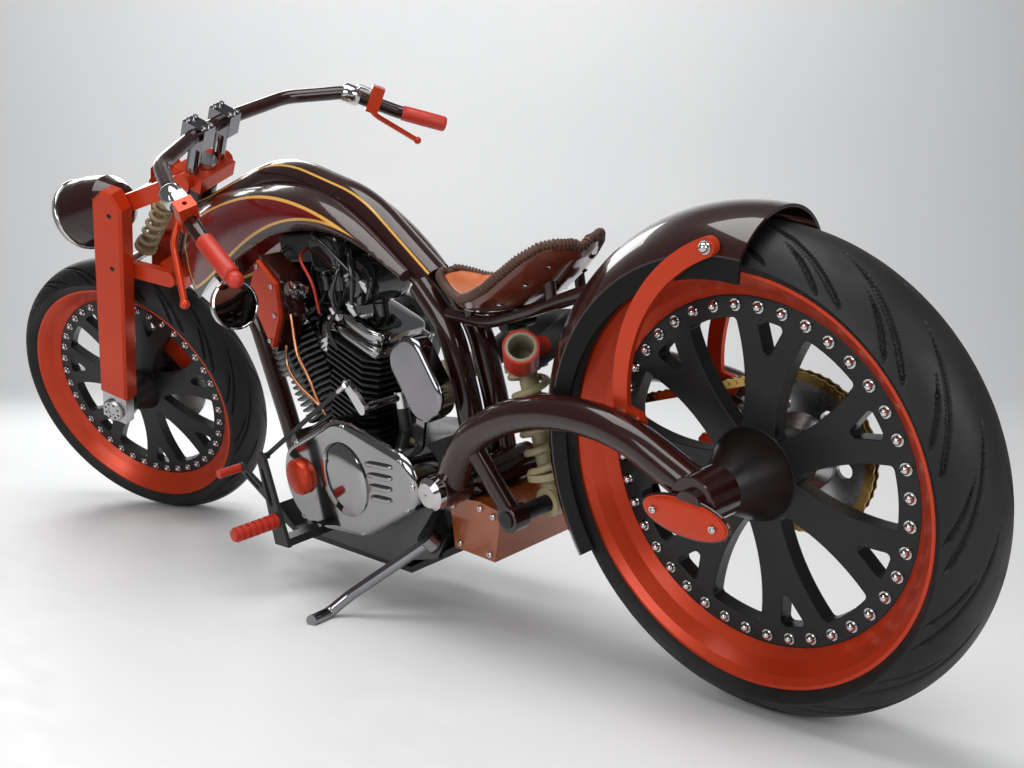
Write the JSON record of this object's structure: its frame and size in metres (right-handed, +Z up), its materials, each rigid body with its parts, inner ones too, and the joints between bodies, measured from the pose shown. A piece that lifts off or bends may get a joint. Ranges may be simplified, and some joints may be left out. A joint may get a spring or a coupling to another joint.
{
  "type": "chopper motorcycle",
  "caption": "Low custom chopper with big spoked wheels, girder fork, arched backbone tank, finned V-twin and solo saddle, leaning on its side stand.",
  "frame": {"origin": "floor under the middle of the parked machine's box", "axes": "+X forward along the machine, +Y to its left, +Z up from the floor"},
  "size_m": [2.6743, 0.8198, 1.095],
  "materials": {
    "tyre_rubber": "matt black rubber",
    "red_paint": "satin red-orange candy paint",
    "brown_paint": "deep gloss chocolate paint",
    "burgundy_paint": "gloss burgundy paint with gold lines",
    "black_satin": "satin black coating",
    "chrome": "polished chrome",
    "bare_steel": "brushed steel",
    "case_metal": "dark polished cast aluminium",
    "copper_paint": "copper-brown candy paint",
    "leather_tan": "tan leather, laced edge",
    "cream_spring": "cream painted spring steel",
    "gold_chain": "gold plated links",
    "lamp_glass": "clear lamp glass",
    "red_rubber": "red rubber"
  },
  "bodies": {
    "chassis": {"axle_cover": "red_paint", "cam_cover": "chrome", "crank_cap": "red_paint", "crankcase": "case_metal", "cylinder_front": "black_satin", "cylinder_rear": "black_satin", "drive_chain": "gold_chain", "engine_cradle": "black_satin", "exhaust_pipes": "black_satin", "fender_struts": "red_paint", "filter_cover": "chrome", "foot_controls": "black_satin", "frame_backbone": "brown_paint", "frame_downtube": "brown_paint", "frame_legs": "brown_paint", "intake": "case_metal", "oil_box": "copper_paint", "primary_cover": "chrome", "rear_axle": "bare_steel", "rear_fender": "brown_paint", "rear_shock": "cream_spring", "rocker_box_front": "chrome", "rocker_box_rear": "chrome", "seat": "leather_tan", "seat_frame": "brown_paint", "shock_mounts": "black_satin", "side_box": "brown_paint", "side_plate": "red_paint", "stand_bracket": "black_satin", "steering_head": "brown_paint", "swingarm_left": "brown_paint", "swingarm_pivot": "chrome", "swingarm_right": "brown_paint", "tank_left": "burgundy_paint", "tank_right": "burgundy_paint"},
    "rear_wheel": {"rear_rim": "red_paint", "rear_spokes": "black_satin", "rear_sprocket": "bare_steel", "rear_tyre": "tyre_rubber"},
    "side_stand": {"side_stand": "chrome"},
    "steering": {"fork_blade_left": "red_paint", "fork_blade_right": "red_paint", "fork_ends": "bare_steel", "fork_links": "red_paint", "front_axle": "bare_steel", "front_spring": "cream_spring", "grips": "red_rubber", "handlebar": "brown_paint", "headlamp": "brown_paint", "headlamp_lens": "lamp_glass", "lever_perches": "red_paint", "link_pins": "chrome", "lower_clamp": "red_paint", "risers": "chrome", "steering_stem": "bare_steel", "upper_clamp": "red_paint"},
    "front_wheel": {"front_disc": "bare_steel", "front_rim": "red_paint", "front_spokes": "black_satin", "front_tyre": "tyre_rubber"}
  },
  "joints": [
    {"name": "steering_turn", "type": "hinge", "parent": "chassis", "child": "steering", "pos_m": [0.65153, 0.10903, 0.68062], "axis": [0.5974, -0.1455, -0.7886], "range_deg": [0, 50]},
    {"name": "front_wheel_spin", "type": "hinge", "parent": "steering", "child": "front_wheel", "pos_m": [0.98917, 0.07797, 0.33952], "axis": [-0.3399, 0.8448, -0.4133], "continuous": true},
    {"name": "rear_wheel_spin", "type": "hinge", "parent": "chassis", "child": "rear_wheel", "pos_m": [-0.97221, 0.04798, 0.3604], "axis": [-0.001, 0.9833, -0.1822], "continuous": true},
    {"name": "side_stand_fold", "type": "hinge", "parent": "chassis", "child": "side_stand", "pos_m": [-0.31834, 0.13925, 0.15773], "axis": [0.179, 0.6904, 0.7009], "range_deg": [0, 129.3]}
  ]
}
